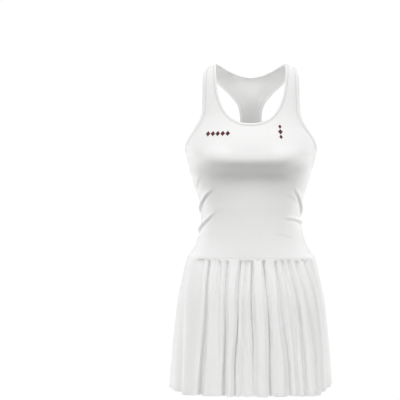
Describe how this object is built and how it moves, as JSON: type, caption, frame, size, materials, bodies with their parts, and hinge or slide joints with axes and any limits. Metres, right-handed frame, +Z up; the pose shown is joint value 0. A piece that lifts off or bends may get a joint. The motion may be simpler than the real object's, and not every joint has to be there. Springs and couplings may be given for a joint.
{
  "type": "sleeveless racer-back sports dress, filled out as if worn",
  "caption": "Sleeveless racer-back sports dress, hollow as worn, with bound neck and armholes and a gathered skirt set on at the hips.",
  "frame": {"origin": "midway between the two straps, level with the top of the shoulders, where the wearer carries the dress", "axes": "+Z up towards the straps, -Y the front of the dress, +X the wearer's left"},
  "size_m": [0.4136, 0.328, 0.8242],
  "materials": {
    "bodice_jersey": "smooth matt stretch jersey, white",
    "binding_jersey": "doubled stretch jersey binding, white",
    "skirt_jersey": "light fluid jersey, matt, white"
  },
  "bodies": {
    "root": {"front_bodice": "bodice_jersey", "back_bodice": "bodice_jersey", "neck_band": "binding_jersey", "armhole_band_left": "binding_jersey", "armhole_band_right": "binding_jersey", "skirt_front": "skirt_jersey", "skirt_back": "skirt_jersey"}
  },
  "joints": []
}
